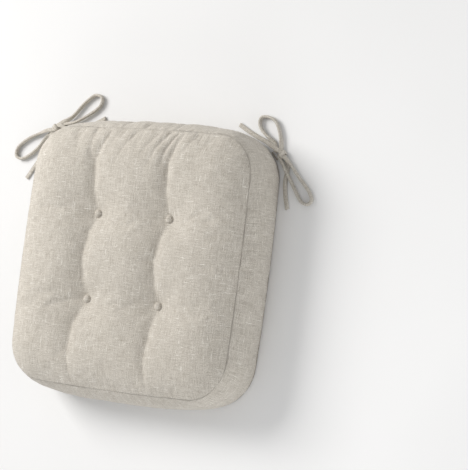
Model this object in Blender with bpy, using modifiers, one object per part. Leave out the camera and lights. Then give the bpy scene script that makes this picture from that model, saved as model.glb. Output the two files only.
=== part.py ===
"""Tufted, boxed chair seat pad with a tied bow at each back corner.

The pad lies flat on its bottom panel. The origin is the centre of the bottom face,
+Z is up, +Y points to the back edge, where the ties are, and +X to the right.
Every length is in metres.
"""

import math

import bmesh
import bpy
from mathutils import Vector

# ---- Cover: outline at the top seam, boxing and top panel ----
SEAM_WIDTH = 0.400          # left to right at the top seam, at the corners' tangent points
SEAM_DEPTH = 0.400          # front to back at the top seam
SEAM_RADIUS = 0.058         # corner radius at the top seam
SIDE_BOW = 0.005            # how far each side swells out at its middle
BOXING_HEIGHT = 0.078       # bottom face to top seam
BOXING_BULGE = 0.012        # how far the boxing swells out at half height
CORNER_BULGE = 0.35         # share of that swell left at the corners
BOTTOM_SPREAD = 0.004       # how much further out the bottom seam lies than the top seam
CLOTH = 0.0012              # cover cloth with its lining
CROWN = 0.019               # height of the filled top above the top seam
CROWN_REACH = 0.075         # distance from the seam over which the top rises
CROWN_ROUND = 2.2           # how round the rise is: 1 is a straight slope
GAP = 0.0003                # gap between pieces that touch

# ---- Filling ----
WADDING = 0.008             # thickness of the wadding under the top panel
WADDING_INSET = 0.007       # the wadding stops this far inside the seam
FOAM_SIDE_FIT = 0.0032      # room between foam and boxing, where the seam thread runs
FOAM_BOTTOM_FIT = 0.0010    # room between foam and bottom panel

# ---- Tufts ----
TUFT_PITCH_X = 0.134        # between the two columns of buttons
TUFT_PITCH_Y = 0.134        # between the two rows of buttons
TUFT_FALL = 0.021           # how gently the top rises again around a button
BUTTON_DIAMETER = 0.0125
BUTTON_HEIGHT = 0.0050
BUTTON_SIDE = 0.35          # share of the button's height below its dome
BUTTON_TUCK = 0.96          # the button's foot, as a share of its radius
BUTTON_WALL = 0.0010        # cloth and shell of the covered cap
BUTTON_BACK = 0.0014        # thickness of the button's back plate
SHANK_DIAMETER = 0.0044
SHANK_LENGTH = 0.0125       # from the back plate down to the end of the shank
SHANK_EYE = 0.0020          # hole across the shank for the twine
EYE_RISE = 0.0028           # from the shank's end up to the middle of its eye
TWINE = 0.0011
TWINE_BEND = 0.0014         # radius of the twine's bends at the eye
HOLE_FIT = 0.0005           # room around the shank in the top panel and the wadding
FILLING_HOLE_FIT = 0.0010   # room around the shank and twine in the wadding and the foam
ANCHOR_DIAMETER = 0.0150
ANCHOR_THICKNESS = 0.0024
ANCHOR_HOLE = 0.0018        # each of the two holes in an anchor disc
ANCHOR_EDGE = 0.0007        # bevel round an anchor disc
ANCHOR_LIFT = 0.0008        # the disc's face stays this far above the bottom face
DIMPLE_REACH = 0.012        # how far past a disc the bottom panel is drawn up
SEAT_MARGIN = 0.0025        # the cloth stays flat this far past a button or disc

# ---- Seams ----
SEAM_THREAD = 0.0007
THREAD_DROP = 0.0019        # the top seam's thread runs this far below the seam

# ---- Ties ----
TIE_WIDTH = 0.0070
TIE_THICKNESS = 0.0015
TIE_SPREAD = 0.0088         # bartack: distance between the roots of a corner's two straps
BARTACK_HEIGHT = 0.0022
BARTACK_DEPTH = 0.0020
BARTACK_Z = 0.0008          # underside of the bartack
BARTACK_EDGE = 0.0005       # its rounded edges
LEFT_BARTACK_SHIFT = 0.0    # middle of the bartack along the corner's tangent
RIGHT_BARTACK_SHIFT = -0.0065
KNOT_WALL = 0.0014          # the turn of strap round a bow's bundle
KNOT_LENGTH = 0.0080
KNOT_FIT = 0.0006           # room between the knot's turn and the bundle inside it
KNOT_SQUARENESS = 0.7       # 0 is an oval turn, 1 a square one
TIE_LAYER = 0.0018          # from one flat layer of strap to the next inside a knot
TIE_POINT_SPACING = 0.014   # about this far between the points of a strap's centre line

# ---- Sizes that follow ----
TWINE_SPREAD = SHANK_DIAMETER / 2 + TWINE / 2 + GAP         # from a shank's axis to each leg of its twine
FILLING_HOLE = 2 * (TWINE_SPREAD + TWINE / 2 + FILLING_HOLE_FIT)

# ---- Mesh fineness ----
PERIMETER = 64              # points round the pad's outline, a multiple of 8
GRID = PERIMETER // 4       # grid cells across a panel
GRID_CELL = max(SEAM_WIDTH, SEAM_DEPTH) / GRID
FACET_ROOM = 3.84           # room the flat facets of a rounded layer need, per metre, by a cell's square
WADDING_FIT = FACET_ROOM * GRID_CELL ** 2                   # room above and below the wadding
TUFT_LINE = 6 / 16          # the grid line, as a share of the half width, that runs through the tufts
RIM_HOLD = 6                # how closely the outer grid rings keep to the outline
REFINED = 2                 # times the grid is halved round the tufts
BOXING_RINGS = 6
TURNED_STEPS = 12
DOME_STEPS = 5
HOLE_STEPS = 10
SHARP_EDGE = 40             # degrees between faces shown as an edge
STEEP = 1.4                 # a layer's upright thickness on the steepest slope, over its own thickness

# Routes of the straps, chosen by hand, from root to tail end. Each point is
# (along, out, z, turn): along the corner's tangent towards the back edge and out
# from the bottom seam in mm, height in mm, and the strap's turn in degrees
# (0 stands on edge, 90 lies flat).
LEFT_BACK_ROUTE = (
    (-4.4, 5.4, 2.0, 90), (-5.0, 9.0, 2.0, 90), (-9.0, 18.0, 2.2, 90), (-16.5, 28.5, 3.4, 90),
    (-19.5, 36.0, 4.5, 90), (-14.2, 38.9, 4.7, 90), (-9.2, 38.9, 4.7, 90), (-4.2, 38.9, 4.7, 90),
    (4.0, 35.0, 4.8, 75), (24.7, 20.5, 5.7, 15), (52.0, 11.5, 5.0, 5), (76.0, 8.5, 4.1, 0),
    (87.0, 17.0, 4.1, 0), (80.0, 29.5, 4.1, 0), (58.0, 33.0, 4.3, 5), (25.5, 31.5, 5.2, 20),
    (6.0, 37.0, 6.3, 80), (-4.2, 39.0, 6.5, 90), (-9.2, 38.9, 6.5, 90), (-14.2, 38.8, 6.5, 90),
    (-23.0, 37.0, 5.8, 90), (-33.0, 31.0, 2.4, 90), (-46.0, 25.5, 1.1, 90), (-78.5, 19.0, 1.1, 90),
    (-105.4, 13.4, 1.1, 90),
)
LEFT_SIDE_ROUTE = (
    (4.4, 5.4, 2.0, 90), (4.8, 16.0, 2.0, 90), (5.0, 29.0, 2.2, 90), (2.5, 37.0, 2.7, 90),
    (-4.2, 38.9, 2.9, 90), (-9.2, 38.9, 2.9, 90), (-14.2, 38.9, 2.9, 90), (-22.0, 40.0, 2.9, 88),
    (-36.0, 39.5, 4.3, 45), (-54.0, 37.0, 4.6, 10), (-76.0, 39.0, 4.1, 0), (-92.0, 45.0, 4.1, 0),
    (-98.0, 56.0, 4.1, 0), (-88.0, 65.5, 4.1, 0), (-66.0, 64.0, 4.2, 5), (-44.5, 56.5, 4.8, 20),
    (-25.0, 46.5, 8.4, 84), (-14.2, 39.0, 8.3, 90), (-9.2, 38.9, 8.3, 90), (-4.2, 38.8, 8.3, 90),
    (1.0, 33.5, 8.6, 90), (4.0, 25.0, 7.0, 90), (10.0, 16.0, 5.0, 90), (22.0, 7.0, 2.4, 90),
    (38.0, -1.0, 1.1, 90), (55.0, -8.0, 1.1, 90), (71.4, -13.4, 1.1, 90),
)
RIGHT_BACK_ROUTE = (
    (-2.1, 5.8, 2.0, 90), (-1.0, 9.0, 2.0, 90), (6.0, 13.5, 2.0, 90), (14.0, 14.0, 2.6, 70),
    (24.0, 12.0, 4.6, 20), (38.0, 11.0, 4.8, 0), (50.0, 13.5, 4.2, 0), (56.0, 22.0, 4.1, 0),
    (49.0, 31.0, 4.1, 0), (38.0, 36.0, 4.1, 0), (25.5, 35.5, 4.1, 0), (8.0, 28.5, 4.2, 20),
    (-2.5, 21.5, 4.2, 70), (-10.5, 15.8, 4.7, 90), (-15.5, 15.5, 4.7, 90), (-20.5, 15.3, 4.7, 90),
    (-27.0, 13.8, 2.6, 90), (-35.0, 9.5, 1.1, 90), (-43.0, 1.5, 1.1, 90), (-51.0, -8.0, 1.1, 90),
    (-68.0, -20.0, 1.1, 90), (-87.0, -30.5, 1.1, 90),
)
RIGHT_SIDE_ROUTE = (
    (-10.9, 6.1, 2.0, 90), (-12.2, 8.6, 2.8, 65), (-19.0, 8.0, 4.4, 15), (-28.0, 7.0, 5.7, 0),
    (-40.0, 4.5, 5.8, 0), (-53.0, 2.1, 4.8, 0), (-76.0, -2.0, 4.1, 0), (-94.0, -4.5, 4.1, 0),
    (-105.0, 0.5, 4.1, 0), (-106.0, 9.5, 4.1, 0), (-96.0, 14.5, 4.1, 0), (-80.0, 15.5, 4.1, 0),
    (-64.3, 15.2, 4.2, 0), (-45.0, 15.8, 4.8, 20), (-30.0, 16.2, 6.0, 65), (-20.5, 15.6, 6.5, 90),
    (-15.5, 15.5, 6.5, 90), (-10.5, 15.4, 6.5, 90), (-5.0, 13.6, 6.6, 90), (1.0, 11.2, 5.4, 90),
    (7.0, 9.4, 4.2, 90), (15.0, 6.6, 2.6, 90), (24.0, 3.6, 1.3, 90), (37.0, -2.0, 1.1, 90),
    (55.0, -8.5, 1.1, 90), (75.0, -14.5, 1.1, 90),
)

ROOT_POINTS = 2             # the first points of a route lie at the bartack and stay there
LEFT_BOW_SHIFT = (-4.0, 6.0)    # the rest of the left bow is moved by this, along and out

# Middle of each knot in the same terms (along, out, z), and the layers of strap inside it.
LEFT_KNOT = (-13.2, 44.9, 5.6)
LEFT_KNOT_LAYERS = 4
RIGHT_KNOT = (-15.7, 15.9, 5.6)
RIGHT_KNOT_LAYERS = 2

# Colour, roughness and metalness
LINEN = ((0.62, 0.57, 0.51), 0.92, 0.0)
FOAM = ((0.86, 0.80, 0.62), 0.95, 0.0)
FIBRE = ((0.88, 0.88, 0.86), 0.98, 0.0)
STEEL = ((0.55, 0.55, 0.57), 0.35, 1.0)
NYLON = ((0.78, 0.77, 0.73), 0.45, 0.0)
THREAD = ((0.50, 0.45, 0.39), 0.80, 0.0)


# ---- Scene helpers ----
def clear_scene():
    for obj in list(bpy.data.objects):
        bpy.data.objects.remove(obj, do_unlink=True)


def make_collection(name):
    collection = bpy.data.collections.new(name)
    bpy.context.scene.collection.children.link(collection)
    return collection


def make_material(name, finish):
    colour, roughness, metallic = finish
    material = bpy.data.materials.new(name)
    material.use_nodes = True
    shader = material.node_tree.nodes["Principled BSDF"]
    shader.inputs["Base Color"].default_value = (*colour, 1.0)
    shader.inputs["Roughness"].default_value = roughness
    shader.inputs["Metallic"].default_value = metallic
    material.diffuse_color = (*colour, 1.0)
    return material


def add_part(name, data, finish, collection, parent=None):
    """Put mesh or curve data in the scene as the named piece, with its own material."""
    obj = bpy.data.objects.new(name, data)
    collection.objects.link(obj)
    obj.parent = parent
    data.materials.clear()
    data.materials.append(make_material(name, finish))
    return obj


def to_mesh(bm, name):
    bmesh.ops.recalc_face_normals(bm, faces=bm.faces)
    mesh = bpy.data.meshes.new(name)
    bm.to_mesh(mesh)
    bm.free()
    mesh.shade_smooth()
    mesh.set_sharp_from_angle(angle=math.radians(SHARP_EDGE))
    return mesh


# ---- Pad outline and surfaces ----
def outline_point(share, offset):
    """Point at a share of the way round the pad, offset outwards from the top seam.

    The share runs anticlockwise from the middle of the right side.
    """
    half_w = SEAM_WIDTH / 2 + offset
    half_d = SEAM_DEPTH / 2 + offset
    radius = max(SEAM_RADIUS + offset, 0.001)
    lengths = (half_d - radius, radius * math.pi / 2, half_w - radius)
    quarter, step = divmod(share * 4, 1.0)
    swapped = int(quarter) % 2 == 1
    if swapped:
        lengths = lengths[::-1]
    run = step * sum(lengths)
    if run < lengths[0]:
        x, y = (half_w, run) if not swapped else (half_d, run)
    elif run < lengths[0] + lengths[1]:
        angle = (run - lengths[0]) / radius
        first, second = (half_w, half_d) if not swapped else (half_d, half_w)
        x = first - radius + radius * math.cos(angle)
        y = second - radius + radius * math.sin(angle)
    else:
        left = sum(lengths) - run
        x, y = (left, half_d) if not swapped else (left, half_w)
    for _ in range(int(quarter)):
        x, y = -y, x
    return swell(x, y)


def swell(x, y):
    """Push a point outwards by the soft bow of the sides."""
    across = 2 * x / SEAM_WIDTH
    along = 2 * y / SEAM_DEPTH
    return (x + SIDE_BOW * across * max(1 - along ** 2, 0),
            y + SIDE_BOW * along * max(1 - across ** 2, 0))


def boxing_offset(z, share):
    """How far the boxing's outer face lies outside the top seam, at a height and a share of the way round."""
    down = 1 - z / BOXING_HEIGHT
    corner = math.sin(4 * math.pi * share) ** 4
    bulge = BOXING_BULGE * (1 - (1 - CORNER_BULGE) * corner)
    return BOTTOM_SPREAD * down + bulge * 4 * down * (1 - down)


def tuft_places():
    return [Vector((sx * TUFT_PITCH_X / 2, sy * TUFT_PITCH_Y / 2))
            for sy in (1, -1) for sx in (-1, 1)]


def seam_distance(x, y):
    """Rough distance from a point on the top to the seam."""
    flat_x = SEAM_WIDTH / 2 + SIDE_BOW - abs(x)
    flat_y = SEAM_DEPTH / 2 + SIDE_BOW - abs(y)
    corner_x = max(SEAM_RADIUS - flat_x, 0)
    corner_y = max(SEAM_RADIUS - flat_y, 0)
    if corner_x and corner_y:
        return max(SEAM_RADIUS - math.hypot(corner_x, corner_y), 0)
    return max(min(flat_x, flat_y), 0)


def top_height(x, y):
    """Height of the top panel's outer face: a crown drawn down at the tufts."""
    rise = min(seam_distance(x, y) / CROWN_REACH, 1)
    height = CROWN * (1 - (1 - rise) ** CROWN_ROUND)
    seat = BUTTON_DIAMETER / 2 + SEAT_MARGIN
    for place in tuft_places():
        away = max((Vector((x, y)) - place).length - seat, 0)
        height *= 1 - math.exp(-away / TUFT_FALL)
    return BOXING_HEIGHT + height


def bottom_height(x, y):
    """Height of the bottom panel's lower face: flat, drawn up over each anchor disc."""
    lift = ANCHOR_LIFT + ANCHOR_THICKNESS + GAP
    seat = ANCHOR_DIAMETER / 2 + SEAT_MARGIN
    nearest = min((Vector((x, y)) - place).length for place in tuft_places())
    share = min(max((nearest - seat) / DIMPLE_REACH, 0), 1)
    return lift * (1 - share) ** 2 * (1 + 2 * share)


def sheet(offset, height):
    """A grid stretched over the pad's outline, finer near the tufts, as an open surface."""
    bm = bmesh.new()
    bmesh.ops.create_grid(bm, x_segments=GRID, y_segments=GRID, size=1.0)
    for vert in bm.verts:
        vert.co.xy = grid_to_pad(vert.co.x, vert.co.y, offset)
    cell = GRID_CELL
    for _ in range(REFINED):
        cell /= 2
        reach = ANCHOR_DIAMETER / 2 + SEAT_MARGIN + DIMPLE_REACH + cell
        edges = [edge for edge in bm.edges
                 if min(((edge.verts[0].co.xy + edge.verts[1].co.xy) / 2 - place).length
                        for place in tuft_places()) < reach]
        bmesh.ops.subdivide_edges(bm, edges=edges, cuts=1, use_grid_fill=True)
    for vert in bm.verts:
        vert.co.z = height(vert.co.x, vert.co.y)
    bmesh.ops.triangulate(bm, faces=[face for face in bm.faces if len(face.verts) > 4])
    return bm


def grid_to_pad(s, t, offset):
    """Place a point of the unit grid: square rings near the middle, the outline at the rim."""
    ring = max(abs(s), abs(t))
    if ring < 1e-9:
        return (0.0, 0.0)
    if abs(s) >= abs(t):
        step = t / ring if s > 0 else -t / ring
        share = (0.0 if s > 0 else 0.5) + step / 8
    else:
        step = -s / ring if t > 0 else s / ring
        share = (0.25 if t > 0 else 0.75) + step / 8
    rim = Vector(outline_point(share % 1.0, offset)) * ring
    half_w = SEAM_WIDTH / 2 + offset
    half_d = SEAM_DEPTH / 2 + offset
    square = Vector((onto_tuft(s, TUFT_PITCH_X / 2 / half_w) * half_w,
                     onto_tuft(t, TUFT_PITCH_Y / 2 / half_d) * half_d))
    blend = ring ** RIM_HOLD
    return square * (1 - blend) + rim * blend


def onto_tuft(value, tuft):
    """Shift a grid coordinate so that the grid line TUFT_LINE lies on a row of tufts."""
    if abs(value) <= TUFT_LINE:
        return value * tuft / TUFT_LINE
    share = (abs(value) - TUFT_LINE) / (1 - TUFT_LINE)
    return math.copysign(tuft + (1 - tuft) * share, value)


def shares():
    return [i / PERIMETER for i in range(PERIMETER)]


def boxing_line(z, inset):
    """Points round the boxing at a height, inside its outer face by the inset."""
    return [(*outline_point(share, boxing_offset(z, share) - inset), z) for share in shares()]


# ---- Cover pieces ----
def cut_at_tufts(obj, profile, cutters):
    """Cut a turned hollow, given as (radius, height) pairs, through a piece at each tuft."""
    bm = bmesh.new()
    hollow = turned(obj.name + "_hollow", profile)
    for place in tuft_places():
        start = len(bm.verts)
        bm.from_mesh(hollow)
        bm.verts.ensure_lookup_table()
        bmesh.ops.translate(bm, verts=bm.verts[start:], vec=(place.x, place.y, 0))
    bpy.data.meshes.remove(hollow)
    add_cutter(obj, to_mesh(bm, obj.name + "_tuft_cutter"), cutters)


def add_cutter(obj, mesh, cutters):
    cutter = bpy.data.objects.new(mesh.name, mesh)
    cutters.objects.link(cutter)
    cutter.hide_render = True
    cutter.display_type = "WIRE"
    cut = obj.modifiers.new("Cut", "BOOLEAN")
    cut.operation = "DIFFERENCE"
    cut.solver = "EXACT"
    cut.object = cutter
    return cutter


def straight_hole(diameter):
    """Profile of a plain round hole right through the pad."""
    radius = diameter / 2
    top = BOXING_HEIGHT + CROWN
    return [(0.0, top), (radius, top), (radius, -CROWN), (0.0, -CROWN)]


def add_wall(obj, thickness):
    wall = obj.modifiers.new("Wall", "SOLIDIFY")
    wall.thickness = thickness
    wall.offset = -1.0


def make_top_panel(parts, cutters, parent):
    bm = sheet(0.0, top_height)
    panel = add_part("top_panel", to_mesh(bm, "top_panel"), LINEN, parts, parent)
    add_wall(panel, CLOTH)
    cut_at_tufts(panel, straight_hole(SHANK_DIAMETER + 2 * HOLE_FIT), cutters)


def make_boxing(parts, parent):
    low = CLOTH + GAP
    high = BOXING_HEIGHT - CLOTH - GAP
    bm = bmesh.new()
    loops = []
    for i in range(BOXING_RINGS + 1):
        z = low + (high - low) * i / BOXING_RINGS
        loops.append([bm.verts.new(point) for point in boxing_line(z, 0.0)])
    for lower, upper in zip(loops, loops[1:]):
        for i in range(PERIMETER):
            j = (i + 1) % PERIMETER
            bm.faces.new((lower[i], lower[j], upper[j], upper[i]))
    boxing = add_part("boxing_strip", to_mesh(bm, "boxing_strip"), LINEN, parts, parent)
    add_wall(boxing, CLOTH)


def make_bottom_panel(parts, cutters, parent):
    bm = sheet(BOTTOM_SPREAD, bottom_height)
    bmesh.ops.reverse_faces(bm, faces=bm.faces)
    mesh = bpy.data.meshes.new("bottom_panel")
    bm.to_mesh(mesh)
    bm.free()
    panel = add_part("bottom_panel", mesh, LINEN, parts, parent)
    add_wall(panel, CLOTH)
    cut_at_tufts(panel, straight_hole(2 * (TWINE + TWINE_SPREAD)), cutters)


# ---- Filling ----
def make_wadding(parts, cutters, parent):
    def height(x, y):
        return top_height(x, y) - CLOTH * STEEP - WADDING_FIT

    bm = sheet(-WADDING_INSET, height)
    wadding = add_part("top_wadding", to_mesh(bm, "top_wadding"), FIBRE, parts, parent)
    add_wall(wadding, WADDING)
    cut_at_tufts(wadding, straight_hole(FILLING_HOLE), cutters)


def make_foam(parts, cutters, parent):
    drop = (CLOTH + WADDING) * STEEP + 2 * WADDING_FIT

    def height(x, y):
        return top_height(x, y) - drop

    inset = CLOTH + FOAM_SIDE_FIT
    bm = sheet(-inset, height)
    rim = [edge for edge in bm.edges if edge.is_boundary]
    floor = CLOTH + FOAM_BOTTOM_FIT
    top = BOXING_HEIGHT - drop
    for i in range(1, BOXING_RINGS):
        z = top + (floor - top) * i / (BOXING_RINGS - 1)
        made = bmesh.ops.extrude_edge_only(bm, edges=rim)["geom"]
        rim = [item for item in made if isinstance(item, bmesh.types.BMEdge)]
        for vert in {vert for edge in rim for vert in edge.verts}:
            grow_to(vert, boxing_line(z, inset))
    bmesh.ops.holes_fill(bm, edges=rim, sides=0)
    foam = add_part("foam_core", to_mesh(bm, "foam_core"), FOAM, parts, parent)
    cut_at_tufts(foam, foam_hollow(), cutters)


def foam_hollow():
    """Tuft hole through the foam, with a relief where the bottom panel is drawn up."""
    hole = FILLING_HOLE / 2
    top = BOXING_HEIGHT + CROWN
    roof = ANCHOR_LIFT + ANCHOR_THICKNESS + GAP + CLOTH * STEEP + FOAM_BOTTOM_FIT
    seat = ANCHOR_DIAMETER / 2 + SEAT_MARGIN
    drawn = seat + DIMPLE_REACH
    return [(0.0, top), (hole, top), (hole, roof), (drawn, roof), (drawn + GRID_CELL, 0.0), (0.0, 0.0)]


def grow_to(vert, line):
    """Move a rim point onto the point of the line that lies the same way from the middle."""
    heading = math.atan2(vert.co.y, vert.co.x)
    vert.co = min(line, key=lambda point: abs(math.remainder(
        math.atan2(point[1], point[0]) - heading, 2 * math.pi)))


# ---- Turned and small pieces ----
def turned(name, profile):
    """Mesh of a closed profile (radius, height) turned round Z."""
    bm = bmesh.new()
    verts = [bm.verts.new((radius, 0.0, height)) for radius, height in profile]
    edges = [bm.edges.new(pair) for pair in zip(verts, verts[1:])]
    bmesh.ops.spin(bm, geom=verts + edges, cent=(0, 0, 0), axis=(0, 0, 1),
                   angle=2 * math.pi, steps=TURNED_STEPS, use_merge=True)
    bmesh.ops.remove_doubles(bm, verts=bm.verts, dist=1e-6)
    return to_mesh(bm, name)


def cap_profile():
    radius = BUTTON_DIAMETER / 2
    side = BUTTON_HEIGHT * BUTTON_SIDE
    angles = [math.pi / 2 * i / DOME_STEPS for i in range(DOME_STEPS + 1)]
    dome = [(radius * math.sin(angle), side + (BUTTON_HEIGHT - side) * math.cos(angle)) for angle in angles]
    inner = radius - BUTTON_WALL
    ceiling = BUTTON_BACK + 2 * GAP
    return dome + [(radius * BUTTON_TUCK, 0.0), (inner, 0.0), (inner, ceiling), (0.0, ceiling)]


def back_profile():
    plate = BUTTON_DIAMETER / 2 - BUTTON_WALL - GAP
    shank = SHANK_DIAMETER / 2
    return [(0.0, BUTTON_BACK), (plate, BUTTON_BACK), (plate, 0.0), (shank, 0.0),
            (shank, -SHANK_LENGTH), (0.0, -SHANK_LENGTH)]


def button_seat():
    return BOXING_HEIGHT + 2 * GAP


def make_buttons(parts, cutters, parent):
    cap_mesh = turned("button_cap", cap_profile())
    back_mesh = turned("button_back", back_profile())
    seat = button_seat()
    for number, place in enumerate(tuft_places(), start=1):
        cap = add_part(f"button_cap_{number}", cap_mesh.copy(), LINEN, parts, parent)
        cap.location = (place.x, place.y, seat)
        back = add_part(f"button_back_{number}", back_mesh.copy(), STEEL, parts, parent)
        back.location = (place.x, place.y, seat)
        cut_eye(back, cutters)


def eye_height():
    return button_seat() - SHANK_LENGTH + EYE_RISE


def cut_eye(back, cutters):
    """Drill the twine's hole across a shank, along X."""
    bm = bmesh.new()
    bmesh.ops.create_cone(bm, cap_ends=True, segments=HOLE_STEPS, radius1=SHANK_EYE / 2,
                          radius2=SHANK_EYE / 2, depth=2 * SHANK_DIAMETER)
    cutter = add_cutter(back, to_mesh(bm, back.name + "_eye_cutter"), cutters)
    cutter.location = (back.location.x, back.location.y, eye_height())
    cutter.rotation_euler = (0, math.pi / 2, 0)


def make_twines(parts, parent):
    """Each twine loops through its shank's eye and runs down to its anchor disc."""
    low = ANCHOR_LIFT + GAP
    eye = eye_height()
    bend, cut = TWINE_BEND, TWINE_BEND / 3
    for number, place in enumerate(tuft_places(), start=1):
        leg = [(TWINE_SPREAD, low), (TWINE_SPREAD, eye - bend), (TWINE_SPREAD - cut, eye - cut),
               (TWINE_SPREAD - bend, eye)]
        route = [(-x, z) for x, z in leg] + leg[::-1]
        points = [(place.x + x, place.y, z, 0.0) for x, z in route]
        twine = round_curve(f"tuft_twine_{number}", points, TWINE, closed=False)
        add_part(twine.name, twine, THREAD, parts, parent)


def round_curve(name, points, diameter, closed):
    curve = bpy.data.curves.new(name, "CURVE")
    curve.dimensions = "3D"
    curve.bevel_depth = diameter / 2
    curve.bevel_resolution = 1
    curve.use_fill_caps = not closed
    spline = curve.splines.new("POLY")
    spline.points.add(len(points) - 1)
    for point, (x, y, z, turn) in zip(spline.points, points):
        point.co = (x, y, z, 1.0)
        point.tilt = math.radians(turn)
    spline.use_cyclic_u = closed
    return curve


def make_anchors(parts, cutters, parent):
    radius = ANCHOR_DIAMETER / 2
    soft = ANCHOR_EDGE
    profile = [(0.0, ANCHOR_THICKNESS), (radius - soft, ANCHOR_THICKNESS), (radius, ANCHOR_THICKNESS - soft),
               (radius, soft), (radius - soft, 0.0), (0.0, 0.0)]
    mesh = turned("anchor_disc", profile)
    for number, place in enumerate(tuft_places(), start=1):
        disc = add_part(f"anchor_disc_{number}", mesh.copy(), NYLON, parts, parent)
        disc.location = (place.x, place.y, ANCHOR_LIFT)
        bm = bmesh.new()
        for side in (-1, 1):
            made = bmesh.ops.create_cone(bm, cap_ends=True, segments=HOLE_STEPS, radius1=ANCHOR_HOLE / 2,
                                         radius2=ANCHOR_HOLE / 2, depth=4 * ANCHOR_THICKNESS)
            bmesh.ops.translate(bm, verts=made["verts"], vec=(side * TWINE_SPREAD, 0, 0))
        cutter = add_cutter(disc, to_mesh(bm, disc.name + "_hole_cutter"), cutters)
        cutter.location = disc.location


def make_seam_threads(parts, base, top):
    inset = CLOTH + 2 * GAP + SEAM_THREAD / 2
    high = BOXING_HEIGHT - THREAD_DROP - 2 * GAP - SEAM_THREAD / 2
    low = CLOTH + 2 * GAP + SEAM_THREAD / 2
    for name, z, parent in (("seam_thread_top", high, top), ("seam_thread_bottom", low, base)):
        points = [(*point, 0.0) for point in boxing_line(z, inset)]
        curve = round_curve(name, points, SEAM_THREAD, closed=True)
        add_part(name, curve, THREAD, parts, parent)


# ---- Ties ----
def corner_frame(side):
    """Bottom-seam point of a back corner, and its along and out directions."""
    offset = BOTTOM_SPREAD
    radius = SEAM_RADIUS + offset
    slant = math.sqrt(0.5)
    x = SEAM_WIDTH / 2 + offset - radius * (1 - slant)
    y = SEAM_DEPTH / 2 + offset - radius * (1 - slant)
    x, y = swell(x, y)
    return Vector((side * x, y, 0)), Vector((-side * slant, slant, 0)), Vector((side * slant, slant, 0))


def smooth_route(route):
    """Points along a smooth curve through a strap's hand-set points, those among them."""
    knots = [Vector(point) for point in route]
    knots = [2 * knots[0] - knots[1]] + knots + [2 * knots[-1] - knots[-2]]
    points = []
    for before, start, end, after in zip(knots, knots[1:], knots[2:], knots[3:]):
        steps = max(round((end - start).xyz.length / (TIE_POINT_SPACING * 1000)), 1)
        for step in range(steps):
            t = step / steps
            points.append(0.5 * (2 * start + (end - before) * t
                                 + (2 * before - 5 * start + 4 * end - after) * t * t
                                 + (3 * start - before - 3 * end + after) * t ** 3))
    return points + [knots[-2]]


def moved(route, shift):
    """A route with all but its root points moved along and out."""
    rest = [(u + shift[0], n + shift[1], z, turn) for u, n, z, turn in route[ROOT_POINTS:]]
    return [*route[:ROOT_POINTS], *rest]


def make_strap(name, route, side, parts, pivot):
    root, along, out = corner_frame(side)
    points = []
    for u, n, z, turn in (tuple(point) for point in smooth_route(route)):
        place = root + along * u / 1000 + out * n / 1000 + Vector((0, 0, z / 1000)) - pivot.location
        points.append((*place, turn))
    curve = round_curve(name, points, TIE_THICKNESS, closed=False)
    curve.twist_mode = "Z_UP"
    curve.extrude = (TIE_WIDTH - TIE_THICKNESS) / 2
    return add_part(name, curve, LINEN, parts, pivot)


def make_knot(name, centre, side, layers, parts, pivot):
    """The turn of strap round the bow's bundle of flat layers: a short, rounded band."""
    root, along, out = corner_frame(side)
    u, n, z = centre
    height = layers * TIE_LAYER + 2 * KNOT_WALL + KNOT_FIT
    width = TIE_WIDTH + 2 * KNOT_WALL + 2 * KNOT_FIT
    bm = bmesh.new()
    bmesh.ops.create_cone(bm, cap_ends=False, segments=16, radius1=1, radius2=1, depth=KNOT_LENGTH)
    for vert in bm.verts:
        angle = math.atan2(vert.co.y, vert.co.x)
        squared = max(abs(math.cos(angle)), abs(math.sin(angle))) ** KNOT_SQUARENESS
        vert.co.x *= height / 2 / squared
        vert.co.y *= width / 2 / squared
    knot = add_part(name, to_mesh(bm, name), LINEN, parts, pivot)
    add_wall(knot, KNOT_WALL)
    knot.rotation_euler = (0, math.pi / 2, math.atan2(along.y, along.x))
    knot.location = root + along * u / 1000 + out * n / 1000 + Vector((0, 0, z / 1000)) - pivot.location


def make_pivot(name, side, parts):
    """Empty on the axis that a bow swings about, just outside the bottom seam."""
    root, _, out = corner_frame(side)
    pivot = bpy.data.objects.new(name, None)
    pivot.location = root + out * (BARTACK_DEPTH + 3 * GAP) + Vector((0, 0, BARTACK_Z + BARTACK_HEIGHT / 2))
    parts.objects.link(pivot)
    return pivot


def make_bartack(name, side, middle, parts, parent):
    """Dense bar of stitches over the roots of a corner's two straps."""
    root, along, out = corner_frame(side)
    bm = bmesh.new()
    bmesh.ops.create_cube(bm, size=1.0)
    bmesh.ops.scale(bm, verts=bm.verts, vec=(TIE_SPREAD + TIE_WIDTH, BARTACK_DEPTH, BARTACK_HEIGHT))
    bar = add_part(name, to_mesh(bm, name), THREAD, parts, parent)
    bar.rotation_euler = (0, 0, math.atan2(along.y, along.x))
    corner = 1 / 8      # of the way round the outline
    swell_here = boxing_offset(BARTACK_HEIGHT + BARTACK_Z, corner) - BOTTOM_SPREAD
    clear = 1.5 * GAP + BARTACK_DEPTH / 2 + swell_here
    bar.location = root + along * middle + out * clear
    bar.location.z = BARTACK_Z + BARTACK_HEIGHT / 2
    soften = bar.modifiers.new("Rounded", "BEVEL")
    soften.width = BARTACK_EDGE
    soften.segments = 2


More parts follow.
